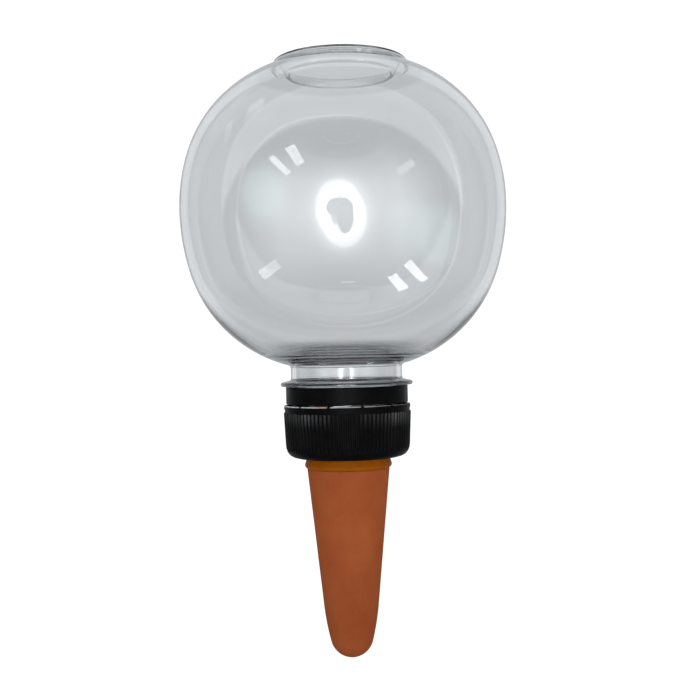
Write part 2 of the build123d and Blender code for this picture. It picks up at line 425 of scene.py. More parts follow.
def make_globe():
    """The blown globe with its threaded neck, support ring and hollow foot, as one clear wall."""
    equator = equator_level()
    lower = globe_side(-1, equator, NECK_RADIUS, **LOWER_SIDE)
    upper = globe_side(1, equator, FOOT_RADIUS, **UPPER_SIDE)
    outside = np.concatenate([lower[::-1], upper[1:]])
    inside = inset(outside, equator)[::-1]
    inner_foot_radius = FOOT_RADIUS - FOOT_WALL
    inside = inside[(inside[:, 0] > inner_foot_radius) | (inside[:, 1] < equator)]
    inside = inside[inside[:, 0] > NECK_BORE_RADIUS]

    ring_radius = FINISH_RADIUS + RING_REACH
    snap_radius = FINISH_RADIUS + SNAP_STAND
    ramp_z = SNAP_Z - SNAP_LAND - SNAP_RAMP
    mouth_radius = FOOT_RADIUS - FOOT_LAND
    base_z = PUSH_UP_Z - FOOT_WALL
    inner_stand_z = STAND_Z - FOOT_WALL
    inner_foot = (inner_foot_radius, inside[0][1])
    throat = (NECK_BORE_RADIUS, inside[-1][1])
    # Only the inside is rippled, so every second point is enough for the outside
    outline = joined(
        *straight(
            (0, base_z, 0),
            (PUSH_UP_RADIUS + FOOT_WALL, base_z, PUSH_UP_CUT, BASE_STEPS),
            (mouth_radius + FOOT_WALL, inner_stand_z, INNER_EDGE_CUT),
            (inner_foot_radius, inner_stand_z, INNER_EDGE_CUT),
            (*inner_foot, FOOT_ROOT_CUT),
        ),
        (np.concatenate([[inner_foot], inside, [throat]]), THROAT_CUT),
        *straight(
            (*throat, 0),
            (NECK_BORE_RADIUS, RIM_Z, RIM_CUT, THROAT_STEPS),
            (FINISH_RADIUS, RIM_Z, RIM_CUT),
            (FINISH_RADIUS, ramp_z, SNAP_CUT, NECK_THREAD_STEPS),
            (snap_radius, SNAP_Z - SNAP_LAND, SNAP_CUT),
            (snap_radius, SNAP_Z, SNAP_CUT / 2),
            (FINISH_RADIUS, SNAP_Z, SNAP_CUT),
            (FINISH_RADIUS, SUPPORT_Z, SNAP_CUT),
            (ring_radius, SUPPORT_Z, RING_CUT),
            (ring_radius, SUPPORT_Z + RING_RIM, RING_CUT),
            (NECK_RADIUS, NECK_Z, RING_ROOT_CUT),
            (NECK_RADIUS, SHOULDER_Z, NECK_ROOT_CUT, NECK_SIDE_STEPS),
        ),
        (outside[::2], FOOT_ROOT_CUT),
        *straight(
            (*outside[-1], 0),
            (FOOT_RADIUS, STAND_Z, FOOT_EDGE_CUT),
            (mouth_radius, STAND_Z, PUSH_UP_EDGE_CUT),
            (PUSH_UP_RADIUS, PUSH_UP_Z, PUSH_UP_CUT),
            (0, PUSH_UP_Z, 0, BASE_STEPS),
        ),
    )

    def threaded(radius, level, angle):
        if abs(radius - FINISH_RADIUS) > ON_WALL or level > ramp_z:
            return radius
        return radius + THREAD_DEPTH * thread(level - RIM_Z, angle, *NECK_THREAD, NECK_THREAD_OFFSET)

    globe = lathe("globe_shell", outline, even_angles(GLOBE_STEPS), shape=threaded)
    # Painted shade, marked for the material by the neck, ring, shoulder and foot
    mark(globe, "painted_shade", painted_shade_mark)
    return globe


def rib_root(level):
    """Outside radius of the cap between its ribs."""
    top_root = CAP_RADIUS - RIB_DEPTH
    return top_root - (RIB_TOP_Z - level) * tan(radians(CAP_DRAFT))


def rib_stand(angle):
    """How far a rib stands at an angle, from 0 in the gap to 1 on its rounded crest."""
    away = from_middle(angle * RIB_COUNT / (2 * pi))
    return smooth_step((RIB_HALF_WIDTH - away) / RIB_FLANK)


def slit_highlight_mark(radius, level, angle):
    """Painted highlight on the slit's top edge, from 0 to 1: deeper on one side, not at the bridges."""
    if radius < BAND_RADIUS:
        return 0
    part = (angle + pi / 2 - radians(BRIDGE_ANGLE)) * BRIDGE_COUNT / (2 * pi)
    from_bridge = abs(part - round(part)) * 2 * pi * radius / BRIDGE_COUNT
    depth = SLIT_EDGE * (SLIT_MEAN - SLIT_SWING * cos(angle))
    beside = smooth_step((from_bridge - BRIDGE_WIDTH / 2) / SLIT_FADE)
    return beside * smooth_step((level - CAP_TOP_Z + depth) / SLIT_FADE)


def rib_highlight_mark(radius, level, angle):
    """Painted highlight on a rib's crest near its top, from 0 to 1, strongest on four sides of the cap."""
    if radius < BAND_RADIUS or level > RIB_TOP_Z:
        return 0
    lit_sides = (1 - cos(RIB_LIGHT_SIDES * angle)) / 2
    rib = floor(angle * RIB_COUNT / (2 * pi))
    share = RIB_LIGHT_MEAN + RIB_LIGHT_SPREAD * noise.noise(Vector((RIB_LIGHT_NOISE_STEP * rib, RIB_LIGHT_NOISE_ROW, 0)))
    fade = smooth_step((level - RIB_TOP_Z + RIB_LIGHT_LENGTH) / RIB_LIGHT_LENGTH)
    return rib_stand(angle) * lit_sides * min(max(share, 0), 1) * fade


def make_cap():
    """The ribbed cap, with its inner thread, and marks for highlights painted on its slit top edge and rib
    tops.
    """
    groove_radius = rib_root(RIB_TOP_Z)
    bead_radius = groove_radius + BEAD_STAND
    hole_radius = SPIKE_RADIUS + HOLE_CLEARANCE
    outline = section(
        (hole_radius, 0, CAP_EDGE_CUT),
        (rib_root(0) + RIB_DEPTH, 0, CAP_CORNER_CUT),
        (groove_radius + RIB_DEPTH, RIB_TOP_Z, CAP_EDGE_CUT, SKIRT_STEPS),
        (groove_radius, RIB_TOP_Z, CAP_EDGE_CUT),
        (groove_radius, BEAD_Z, CAP_EDGE_CUT / 2),
        (bead_radius, BEAD_Z, CAP_EDGE_CUT / 2),
        (bead_radius, CAP_TOP_Z, BEAD_CUT, BEAD_STEPS),
        (CAP_BORE_RADIUS, CAP_TOP_Z, CAP_EDGE_CUT),
        (CAP_BORE_RADIUS, CAP_END_WALL, CAP_ROOT_CUT, CAP_THREAD_STEPS),
        (hole_radius, CAP_END_WALL, CAP_EDGE_CUT),
    )
    ends = [level - RIM_Z for level in CAP_THREAD]

    def ribbed(radius, level, angle):
        if abs(radius - CAP_BORE_RADIUS) < ON_WALL:
            return radius - THREAD_DEPTH * thread(level - RIM_Z, angle, *ends, CAP_THREAD_OFFSET)
        if radius > CAP_BORE_RADIUS and level < RIB_TOP_Z:
            return min(radius, rib_root(level) + RIB_DEPTH * rib_stand(angle))
        return radius

    cap = lathe("cap_shell", outline, even_angles(RIB_COUNT * RIB_SAMPLES), closed=True, shape=ribbed)
    # Marks where highlights are painted: the slit's top edge and the rib tops
    mark(cap, "slit", slit_highlight_mark)
    mark(cap, "rib_light", rib_highlight_mark)
    return cap


def make_bridges():
    """The short posts between the cap and the band."""
    bm = bmesh.new()
    length = BAND_WALL - 2 * BRIDGE_INSET
    size = Matrix.Diagonal((length * MM, BRIDGE_WIDTH * MM, (BRIDGE_HEIGHT + BRIDGE_SINK) * MM, 1))
    middle_z = CAP_TOP_Z + (BRIDGE_HEIGHT - BRIDGE_SINK) / 2
    middle = Matrix.Translation(Vector((CAP_BORE_RADIUS + BAND_WALL / 2, 0, middle_z)) * MM)
    for index in range(BRIDGE_COUNT):
        turn = Matrix.Rotation(radians(BRIDGE_ANGLE - 90 + 360 * index / BRIDGE_COUNT), 4, "Z")
        made = bmesh.ops.create_cube(bm, size=1, matrix=turn @ middle @ size)
        edges = {edge for vert in made["verts"] for edge in vert.link_edges}
        bmesh.ops.bevel(bm, geom=list(edges), offset=BRIDGE_CUT * MM, segments=2, affect="EDGES", profile=0.5)
    mesh = bpy.data.meshes.new("cap_bridges")
    bm.to_mesh(mesh)
    bm.free()
    return finished("cap_bridges", mesh)


def make_band():
    """The tamper band that stays on the neck, with its inner lip above the snap bead."""
    lip_radius = FINISH_RADIUS + LIP_CLEARANCE
    lip_z = SNAP_Z + LIP_CLEARANCE
    outline = section(
        (CAP_BORE_RADIUS, BAND_Z, BAND_CUT / 2),
        (BAND_RADIUS, BAND_Z, BAND_CUT),
        (BAND_RADIUS, BAND_TOP_Z, BAND_CUT),
        (CAP_BORE_RADIUS, BAND_TOP_Z, BAND_CUT / 2),
        (CAP_BORE_RADIUS, lip_z + LIP_LAND + LIP_RAMP, LIP_CUT),
        (lip_radius, lip_z + LIP_LAND, LIP_CUT),
        (lip_radius, lip_z, LIP_CUT),
        (CAP_BORE_RADIUS, lip_z, LIP_CUT),
    )
    return lathe("band_shell", outline, even_angles(RING_STEPS), closed=True)


def nose(wall):
    """The cone and rounded nose of the spike, inset by a wall, from the end of the seal's seat to the tip."""
    lean = radians(SPIKE_TAPER)
    nose_lean = radians(SPIKE_TAPER + NOSE_SIDE_TURN)
    end_radius = SPIKE_RADIUS - SPIKE_CONE_LENGTH * tan(lean)
    end_z = SEAL_Z - SPIKE_CONE_LENGTH
    centre = (end_radius - NOSE_SIDE_RADIUS * cos(lean), end_z + NOSE_SIDE_RADIUS * sin(lean))
    tip_radius = (centre[0] + NOSE_SIDE_RADIUS * cos(nose_lean)) / cos(nose_lean)
    tip_z = centre[1] - (NOSE_SIDE_RADIUS - tip_radius) * sin(nose_lean)
    side = arc(centre, NOSE_SIDE_RADIUS - wall, -lean, -nose_lean, NOSE_STEPS)
    tip = arc((0, tip_z), tip_radius - wall, -nose_lean, -pi / 2, NOSE_STEPS)
    cone = line((SPIKE_RADIUS - wall / cos(lean), SEAL_Z), side[0], CONE_STEPS)
    path = np.concatenate([cone, side[1:], tip[1:]])
    path[-1][0] = 0
    return path


def make_spike():
    """The hollow clay spike, hung by its flange on the cap's end wall."""
    seat_radius = SPIKE_RADIUS - SEAL_SEAT_DEPTH
    outside = nose(0)[::-1]
    inside = nose(SPIKE_WALL)
    bore_radius = inside[0][0]
    outline = joined(
        (outside, SPIKE_EDGE_CUT),
        *straight(
            (SPIKE_RADIUS, SEAL_Z, 0),
            (seat_radius, SEAL_Z, SPIKE_EDGE_CUT),
            (seat_radius, 0, SPIKE_EDGE_CUT),
            (SPIKE_RADIUS, 0, SPIKE_EDGE_CUT),
            (SPIKE_RADIUS, CAP_END_WALL, SPIKE_EDGE_CUT),
            (FLANGE_RADIUS, CAP_END_WALL, SPIKE_EDGE_CUT),
            (FLANGE_RADIUS, GASKET_Z, SPIKE_EDGE_CUT),
            (bore_radius, GASKET_Z, 2 * SPIKE_EDGE_CUT),
            (bore_radius, SEAL_Z, 0),
        ),
        inside,
    )
    most = 1 + CLAY_RIPPLE_SHARE

    def uneven(radius, level, angle):
        """The radius under the seal's seat, drawn in by waves, so that no point stands past the solid."""
        if level > SEAL_Z or radius < CLAY_STILL_RADIUS:
            return radius
        place = Vector((radius * cos(angle), radius * sin(angle), level))
        ripple = noise.noise(place / CLAY_RIPPLE_SIZE)
        wave = noise.noise(place / CLAY_WAVE_SIZE) + CLAY_RIPPLE_SHARE * ripple
        return radius + CLAY_WAVE * (wave - most) / (2 * most)

    return lathe("spike_body", outline, even_angles(RING_STEPS), shape=uneven)


def make_seal():
    """The rubber ring in its seat on the spike, which flares out under the cap to a rounded lip."""
    bore_radius = SPIKE_RADIUS - SEAL_SEAT_DEPTH + SEAL_CLEARANCE
    outline = section(
        (bore_radius, 0, GASKET_CUT),
        (bore_radius, SEAL_Z, GASKET_CUT),
        (SPIKE_RADIUS, SEAL_Z, GASKET_CUT),
        (SPIKE_RADIUS + SEAL_LIP_STAND, -SEAL_LIP_DROP, SEAL_LIP_CUT),
        (SPIKE_RADIUS, 0, GASKET_CUT),
    )
    return lathe("seal_bead", outline, even_angles(RING_STEPS), closed=True)


def make_gasket():
    """The flat foam ring between the spike's flange and the rim of the neck."""
    bore_radius = FINISH_RADIUS - GASKET_WIDTH
    outline = section(
        (bore_radius, GASKET_Z, GASKET_CUT),
        (FINISH_RADIUS, GASKET_Z, GASKET_CUT),
        (FINISH_RADIUS, RIM_Z, GASKET_CUT),
        (bore_radius, RIM_Z, GASKET_CUT),
    )
    return lathe("gasket_ring", outline, even_angles(RING_STEPS), closed=True)


def grey(value):
    return (value, value, value, 1)


class Tree:
    """The nodes of a material or of the world, with short calls to add and join them."""

    def __init__(self, owner):
        owner.use_nodes = True
        self.nodes = owner.node_tree.nodes
        self.links = owner.node_tree.links

    def add(self, kind, **settings):
        """A new node of a kind, with its settings."""
        node = self.nodes.new(f"ShaderNode{kind}")
        for name, value in settings.items():
            setattr(node, name, value)
        return node

    def output(self, kind, name):
        """The named output of a new node that needs nothing set."""
        return self.add(kind).outputs[name]

    def feed(self, socket, value):
        """Gives a socket a number, colour or vector, or links an output to it."""
        if isinstance(value, bpy.types.NodeSocket):
            self.links.new(value, socket)
        else:
            socket.default_value = value

    def ramp(self, value, *stops):
        """Colours or greys along a value, by stops in order of position."""
        node = self.add("ValToRGB")
        elements = node.color_ramp.elements
        while len(elements) < len(stops):
            elements.new(0.5)
        for element, (position, colour) in zip(elements, stops):
            element.position = position
            element.color = (*colour, 1) if isinstance(colour, tuple) else grey(colour)
        self.feed(node.inputs["Fac"], value)
        return node.outputs["Color"]

    def mix(self, kind, first, second, share=1.0):
        """Two colours mixed."""
        node = self.add("Mix", data_type="RGBA", blend_type=kind)
        self.feed(node.inputs["Factor"], share)
        self.feed(node.inputs["A"], first)
        self.feed(node.inputs["B"], second)
        return node.outputs["Result"]

    def maths(self, operation, first, second):
        """A sum on two numbers, kept between 0 and 1."""
        node = self.add("Math", operation=operation, use_clamp=True)
        self.feed(node.inputs[0], first)
        self.feed(node.inputs[1], second)
        return node.outputs["Value"]


class Finish(Tree):
    """A material on a Principled shader, with calls for what varies over the surface."""

    def __init__(self, name):
        self.material = bpy.data.materials.new(name)
        super().__init__(self.material)
        self.shader = self.nodes["Principled BSDF"]
        self.place = self.output("TexCoord", "Object")

    def set(self, **values):
        """Sets sockets of the shader, named in lower case with underscores."""
        for socket, value in values.items():
            self.shader.inputs[socket.replace("_", " ").title().replace("Ior", "IOR")].default_value = value

    def link(self, output, socket):
        self.links.new(output, self.shader.inputs[socket])

    def noise(self, size, detail=4.0, roughness=0.5):
        """Noise with features of a size in millimetres, from 0 to 1."""
        node = self.add("TexNoise")
        self.feed(node.inputs["Scale"], 1 / (size * MM))
        self.feed(node.inputs["Detail"], detail)
        self.feed(node.inputs["Roughness"], roughness)
        self.feed(node.inputs["Vector"], self.place)
        return node.outputs["Fac"]

    def rise(self, low, high):
        """From 0 to 1 as the level rises from low to high, in millimetres."""
        axes = self.add("SeparateXYZ")
        rise = self.add("MapRange", interpolation_type="SMOOTHSTEP")
        self.feed(rise.inputs["From Min"], low * MM)
        self.feed(rise.inputs["From Max"], high * MM)
        self.feed(axes.inputs["Vector"], self.place)
        self.feed(rise.inputs["Value"], axes.outputs["Z"])
        return rise.outputs["Result"]

    def marked(self, name):
        """A value stored at the points of the mesh."""
        return self.add("Attribute", attribute_name=name).outputs["Fac"]

    def bump(self, height, depth, under=None):
        """Bump of a depth in millimetres, which may lie on another."""
        node = self.add("Bump")
        self.feed(node.inputs["Strength"], 1.0)
        self.feed(node.inputs["Distance"], depth * MM)
        self.feed(node.inputs["Height"], height)
        if under:
            self.feed(node.inputs["Normal"], under)
        return node.outputs["Normal"]


# Tint of the clear plastic and of its painted shade, the height over which the moulded neck's finish becomes
# the blown globe's, and the roughness of the black mouldings
CLEAR_TINT = (0.96, 0.966, 0.972)
PAINTED_SHADE_TINT = (0.21, 0.22, 0.24)
MOULD_BLEND = 2.0
CAP_ROUGHNESS = 0.36
BAND_ROUGHNESS = 0.3
ROUGHNESS_SPREAD = 0.12


def clear_polyester():
    """Clear blown polyester: slightly wavy, with a faint haze where it has been handled."""
    finish = Finish("clear_polyester")
    finish.set(ior=1.575, transmission_weight=1.0)
    # Painted shade where marked: it stands in for the dark cap and surroundings seen in neck, ring, shoulder
    # and foot
    finish.link(finish.ramp(finish.marked("painted_shade"), (0, CLEAR_TINT), (1, PAINTED_SHADE_TINT)), "Base Color")
    blown = finish.ramp(finish.noise(12), (0.35, 0.004), (0.75, 0.012))
    moulded = finish.ramp(finish.noise(3), (0.3, 0.01), (0.7, 0.03))
    above_neck = finish.rise(SHOULDER_Z, SHOULDER_Z + MOULD_BLEND)
    finish.link(finish.mix("MIX", moulded, blown, above_neck), "Roughness")
    finish.link(finish.bump(finish.noise(16, 1.0), 0.02), "Normal")
    return finish.material


def black_plastic(name, roughness, marked=False):
    """Moulded black polyolefin: satin, finely grained. A marked piece has painted highlights on slit edge and
    rib tops.
    """
    finish = Finish(name)
    finish.set(ior=1.1)
    colour = finish.ramp(
        finish.noise(3, 6, 0.6),
        (0.45, (0.003, 0.003, 0.0034)),
        (0.8, (0.0055, 0.0055, 0.006)),
    )
    if marked:
        # Painted highlights: the rib tops and the slit's top edge are lightened where marked
        rib_light_colour = finish.ramp(finish.noise(0.6), (0.3, (0.05, 0.05, 0.052)), (0.7, (0.13, 0.13, 0.132)))
        slit_light_colour = finish.ramp(finish.noise(1.5), (0.36, (0.6, 0.6, 0.61)), (0.6, (0.95, 0.95, 0.95)))
        colour = finish.mix("MIX", colour, rib_light_colour, finish.marked("rib_light"))
        colour = finish.mix("MIX", colour, slit_light_colour, finish.marked("slit"))
    finish.link(colour, "Base Color")
    satin = finish.ramp(finish.noise(2.2, 5), (0.3, roughness), (0.75, roughness + ROUGHNESS_SPREAD))
    finish.link(satin, "Roughness")
    finish.link(finish.bump(finish.noise(0.25, 3), 0.006), "Normal")
    return finish.material


def fired_clay():
    """Unglazed fired clay: matt, blotched orange-brown with fine grain and pores, with painted shade towards
    the tip.
    """
    finish = Finish("fired_clay")
    finish.set(specular_ior_level=0.06)
    blotch = finish.ramp(
        finish.noise(14, 5, 0.55),
        (0.3, (0.315, 0.071, 0.02)),
        (0.5, (0.352, 0.084, 0.0245)),
        (0.72, (0.383, 0.1, 0.032)),
    )
    grain = finish.ramp(finish.noise(0.35, 6, 0.65), (0.3, 0.84), (0.7, 1.0))
    # Painted shade: the clay is darker towards the tip
    painted_tip_shade = finish.ramp(finish.rise(TIP_Z, 0), (0, 0.86), (1, 1.03))
    colour = finish.mix("MULTIPLY", finish.mix("MULTIPLY", blotch, grain), painted_tip_shade)
    finish.link(colour, "Base Color")
    finish.link(finish.ramp(finish.noise(1.5), (0.3, 0.82), (0.7, 0.95)), "Roughness")
    fine = finish.bump(finish.noise(0.3, 5, 0.6), 0.03)
    finish.link(finish.bump(finish.noise(2.2, 3), 0.06, under=fine), "Normal")
    return finish.material


def amber_rubber():
    """Smooth amber rubber with faint flow marks."""
    finish = Finish("amber_rubber")
    finish.set(specular_ior_level=0.03)
    flow = finish.ramp(finish.noise(4), (0.3, (0.25, 0.063, 0.001)), (0.7, (0.3, 0.08, 0.002)))
    finish.link(flow, "Base Color")
    finish.link(finish.ramp(finish.noise(1.2, 3), (0.3, 0.42), (0.7, 0.56)), "Roughness")
    finish.link(finish.bump(finish.noise(0.4, 3), 0.015), "Normal")
    return finish.material


def white_foam():
    """Closed-cell white foam."""
    finish = Finish("white_foam")
    cells = finish.ramp(finish.noise(0.6), (0.3, (0.66, 0.66, 0.62)), (0.7, (0.8, 0.8, 0.77)))
    finish.link(cells, "Base Color")
    finish.link(finish.ramp(finish.noise(1.0, 3), (0.3, 0.75), (0.7, 0.9)), "Roughness")
    finish.link(finish.bump(finish.noise(0.3), 0.04), "Normal")
    return finish.material


def dress(piece, material, body, node):
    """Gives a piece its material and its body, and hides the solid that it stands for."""
    piece.data.materials.append(material)
    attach(piece, body)
    if node:
        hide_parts(node)


# Directions in the studio. The camera is in front
UP = (0, 0, 1)
DOWN = (0, 0, -1)
FRONT = (0, -1, 0)
REAR = (0, 1, 0)

# Camera, level with the neck, at the photograph's distance, with its small roll
CAMERA_PLACE = (1.28, -360.3, 33.9)
CAMERA_LENS = 58.1
CAMERA_SENSOR = 36.0
CAMERA_ROLL = 1.25
CAMERA_CLIP = 10.0

# Studio: a white floor that curves up into a wall, which only the camera sees
FLOOR_RADIUS = 1100.0
FLOOR_BEND = 400.0
FLOOR_BEND_STEPS = 24
FLOOR_GREY = 0.12
FLOOR_GLOW = 1.0
STUDIO_HEIGHT = 1500.0

# Surroundings that clear and glossy surfaces show, as greys at angles from a direction, from the largest
# angle down. Behind is a backdrop with brighter ends and dim sides, which darkens downwards. In front are a
# ceiling and a bright band, low and wide about the camera, which is dimmer where an outer surface mirrors it
# first. One thin lit line runs round, stronger on one side. A ray that only passes through sees the backdrop
# on all sides
BACKDROP_BY_ANGLE = (
    (90, 0.5), (46.2, 0.5), (43.8, 0.88), (26.4, 0.88), (21.6, 0.56), (12, 0.64), (0, 0.64),
)
BACKDROP_SQUASH = 0.4
BELOW_BY_ANGLE = ((180, 1), (70, 1), (50, 0.4), (30, 0.15), (0, 0.15))
BELOW_THROUGH_BY_ANGLE = ((180, 1), (70, 1), (50, 0.7), (30, 0.5), (0, 0.5))
ABOVE_THROUGH_BY_ANGLE = ((180, 1), (79, 1), (77.5, 1.05), (75.5, 1.14), (0, 1.14))
FRONT_BY_TURN = ((180, 0), (84, 0.12), (74, 0.36), (62, 0.9), (54, 1.32), (46, 1.8), (0, 1.8))
FRONT_BY_RISE = (
    (180, 0.05), (162, 0.08), (150, 0.13), (135, 0.4), (125, 0.7), (113, 1),
    (92, 1), (83, 0.75), (76, 0.45), (68, 0.18), (60, 0.04), (0, 0.04),
)
FRONT_SQUASH = 0.02
FRONT_OUTER_SHARE = 0.35
CEILING_TOWARDS = (0, 0.788, 0.616)
CEILING_BY_ANGLE = ((180, 0), (92, 0), (88, 1.05), (0, 1.05))
LINE_TOWARDS = (-0.055, 0.995, 0.08)
LINE_BY_ANGLE = ((180, 0), (96.9, 0), (95.9, 0.9), (94.9, 0.9), (93.9, 0), (0, 0))
LINE_SIDE = (0.8, 0, -0.6)
LINE_SHARE_BY_ANGLE = ((180, 0.1), (80, 0.15), (45, 1), (0, 1))
HALF_BY_ANGLE = ((180, 0), (90.5, 0), (89.5, 1), (0, 1))
COOL_TINT = (0.945, 0.975, 1.0)

# Lights about the camera: two rings and a wide faint halo, with the camera's dim body and dark grip in their
# middle. A fade has shares of the radius and of the strength
LIGHT_Y = -362.0
DISC_STEPS = 96
RING_PLACES = ((-18.0, 55.5), (5.0, 22.5))
RING_RADIUS = 150.0
RING_HOLE = 0.32
RING_HOLE_BLUR = 0.04
RING_FADE = ((0.56, 1), (0.64, 0.3), (0.78, 0.1), (1, 0))
RING_STRENGTH = 5.0
HALO_PLACE = (-6.0, 39.5)
HALO_RADIUS = 230.0
HALO_FADE = ((0, 1), (0.4, 0.8), (0.7, 0.3), (1, 0))
HALO_STRENGTH = 1.0
CAMERA_PARTS = dict(
    camera_body=dict(place=(-10.0, 58.0), depth=10.0, size=(52.0, 28.0), grey=0.3),
    camera_grip=dict(place=(10.0, 33.5), depth=11.0, size=(31.0, 51.0), grey=0.02),
)

# Far panels about the globe: windows that it mirrors, soft patches, and fill light for matt surfaces only
PANEL_DISTANCE = 900.0
WINDOWS = dict(
    window_left=dict(direction=(0.532, -0.447, -0.72), size=(105, 310), turn=-8, strength=5.0),
    window_right=dict(direction=(0.716, -0.42, -0.557), size=(90, 350), turn=-9, strength=5.0),
    window_lower=dict(direction=(-0.744, -0.453, -0.492), size=(110, 270), turn=0, strength=2.5),
    window_low=dict(direction=(0.037, -0.655, -0.755), size=(130, 36), turn=0, strength=1.6),
)
REAR_WINDOWS = dict(
    strip_behind=dict(direction=(-0.4, 0.62, 0.675), size=(60, 510), turn=19.5, strength=0.8),
)
PATCHES = dict(
    patch_left=dict(direction=(-0.793, -0.597, 0.125), size=(620, 760), turn=0, strength=0.7),
    patch_right=dict(direction=(0.908, -0.355, -0.223), size=(520, 760), turn=0, strength=0.9),
)
PATCH_FADE = ((0, 1), (0.3, 0.75), (0.5, 0))
PATCH_TINT = (0.7, 1.0, 0.85)
FILLS = dict(
    fill_front=dict(direction=(0.05, -0.97, -0.24), size=(500, 300), turn=0, strength=3.6),
    fill_left=dict(direction=(-0.95, -0.3, -0.05), size=(900, 900), turn=0, strength=0.75),
    fill_right=dict(direction=(0.95, -0.3, -0.05), size=(900, 900), turn=0, strength=1.0),
)

# Share of a window's or patch's light that is seen after a number of passes through a surface: little in the
# first mirroring off an outer surface, so that the globe's outline stays clear from behind, and more off the
# inside
PASS_SHARES = ((0, 0.1), (2, 1.9), (4, 1.0))
MOST_PASSES = 8


def make_camera():
    data = bpy.data.cameras.new("camera")
    data.lens = CAMERA_LENS
    data.sensor_width = CAMERA_SENSOR
    data.clip_start = CAMERA_CLIP * MM
    camera = bpy.data.objects.new("camera", data)
    level = Matrix.Rotation(radians(90), 4, "X") @ Matrix.Rotation(radians(-CAMERA_ROLL), 4, "Z")
    camera.matrix_world = Matrix.Translation(Vector(CAMERA_PLACE) * MM) @ level
    bpy.context.collection.objects.link(camera)
    bpy.context.scene.camera = camera


def glow(name, strength, fade=(), tint=(1, 1, 1), pass_shares=()):
    """A material that only gives light.

    With a fade it is clear, and its light varies with the distance from its middle. With pass shares, its
    strength varies with the passes through a surface that a ray has behind it.
    """
    material = bpy.data.materials.new(name)
    tree = Tree(material)
    tree.nodes.remove(tree.nodes["Principled BSDF"])
    emission = tree.add("Emission")
    tree.feed(emission.inputs["Color"], (*tint, 1))
    tree.feed(emission.inputs["Strength"], strength)
    shader = emission.outputs["Emission"]
    if pass_shares:
        passes = tree.maths("DIVIDE", tree.output("LightPath", "Transmission Depth"), MOST_PASSES)
        stops = [(count / MOST_PASSES, share * strength) for count, share in pass_shares]
        tree.feed(emission.inputs["Strength"], tree.ramp(passes, *stops))
    if fade:
        sphere = tree.add("TexGradient", gradient_type="SPHERICAL")
        tree.feed(sphere.inputs["Vector"], tree.output("TexCoord", "Object"))
        inwards = sorted(fade, reverse=True)
        stops = [(1 - away, tuple(share * part for part in tint)) for away, share in inwards]
        tree.feed(emission.inputs["Color"], tree.ramp(sphere.outputs["Fac"], *stops))
        both = tree.add("AddShader")
        tree.feed(both.inputs[0], shader)
        tree.feed(both.inputs[1], tree.output("BsdfTransparent", "BSDF"))
        shader = both.outputs["Shader"]
    tree.feed(tree.nodes["Material Output"].inputs["Surface"], shader)
    return material


def unseen(piece, *rays):
    """Hides a stage piece from kinds of rays."""
    for ray in rays:
        setattr(piece, f"visible_{ray}", False)


def make_floor():
    """The floor and wall in one sweep, a plain white ground."""
    wall_radius = FLOOR_RADIUS + FLOOR_BEND
    bend = arc((FLOOR_RADIUS, TIP_Z + FLOOR_BEND), FLOOR_BEND, -pi / 2, 0, FLOOR_BEND_STEPS)
    top_z = TIP_Z + STUDIO_HEIGHT
    outline = np.concatenate([[(0, TIP_Z)], bend, [(wall_radius, top_z)], [(0, top_z)]])
    ground = lathe("studio_floor", outline, even_angles(DISC_STEPS))
    finish = Finish("studio_white")
    finish.set(base_color=grey(FLOOR_GREY), roughness=1.0, specular_ior_level=0.0)
    finish.set(emission_color=grey(1), emission_strength=FLOOR_GLOW)
    ground.data.materials.append(finish.material)
    unseen(ground, "diffuse", "glossy", "transmission", "shadow")


def flat_panel(name, corners, size, matrix, material):
    """A flat face with its corners as shares of a size in millimetres, placed by a matrix in millimetres."""
    mesh = bpy.data.meshes.new(name)
    mesh.from_pydata([(x, y, 0) for x, y in corners], [], [range(len(corners))])
    mesh.materials.append(material)
    panel = bpy.data.objects.new(name, mesh)
    panel.matrix_world = Matrix.Scale(MM, 4) @ matrix @ Matrix.Diagonal((*size, 1, 1))
    bpy.context.collection.objects.link(panel)
    return panel


def make_camera_lights():
    """The ring lights and the halo, and the camera's body and grip in front of them."""
    circle = [(cos(turn), sin(turn)) for turn in even_angles(DISC_STEPS)]
    upright = Matrix.Rotation(radians(90), 4, "X")

    def disc(name, place, depth, size, material):
        matrix = Matrix.Translation((place[0], LIGHT_Y + depth, place[1])) @ upright
        panel = flat_panel(name, circle, size, matrix, material)
        unseen(panel, "camera", "transmission", "diffuse", "shadow")

    hole_fade = ((0, 0), (RING_HOLE - RING_HOLE_BLUR, 0), (RING_HOLE + RING_HOLE_BLUR, 1))
    ring_glow = glow("ring_glow", RING_STRENGTH, hole_fade + RING_FADE)
    for index, place in enumerate(RING_PLACES):
        disc(f"ring_light_{index + 1}", place, index, (RING_RADIUS, RING_RADIUS), ring_glow)
    halo_glow = glow("halo_glow", HALO_STRENGTH, HALO_FADE)
    disc("halo_light", HALO_PLACE, -1, (HALO_RADIUS, HALO_RADIUS), halo_glow)
    for name, part in CAMERA_PARTS.items():
        disc(name, part["place"], part["depth"], part["size"], glow(name, part["grey"]))


def make_panel(name, panel, material, *hidden):
    """A far panel that faces the globe's middle, its height away from the camera, turned about its middle."""
    towards = Vector(panel["direction"]).normalized()
    across = Vector(FRONT).cross(towards).normalized()
    away = towards.cross(across)
    facing = Matrix((across, away, towards)).transposed().to_4x4()
    centre = Vector((0, 0, equator_level())) + towards * PANEL_DISTANCE
    square = [(-0.5, -0.5), (0.5, -0.5), (0.5, 0.5), (-0.5, 0.5)]
    matrix = Matrix.Translation(centre) @ facing @ Matrix.Rotation(radians(panel["turn"]), 4, "Z")
    unseen(flat_panel(name, square, panel["size"], matrix, material), "camera", *hidden)


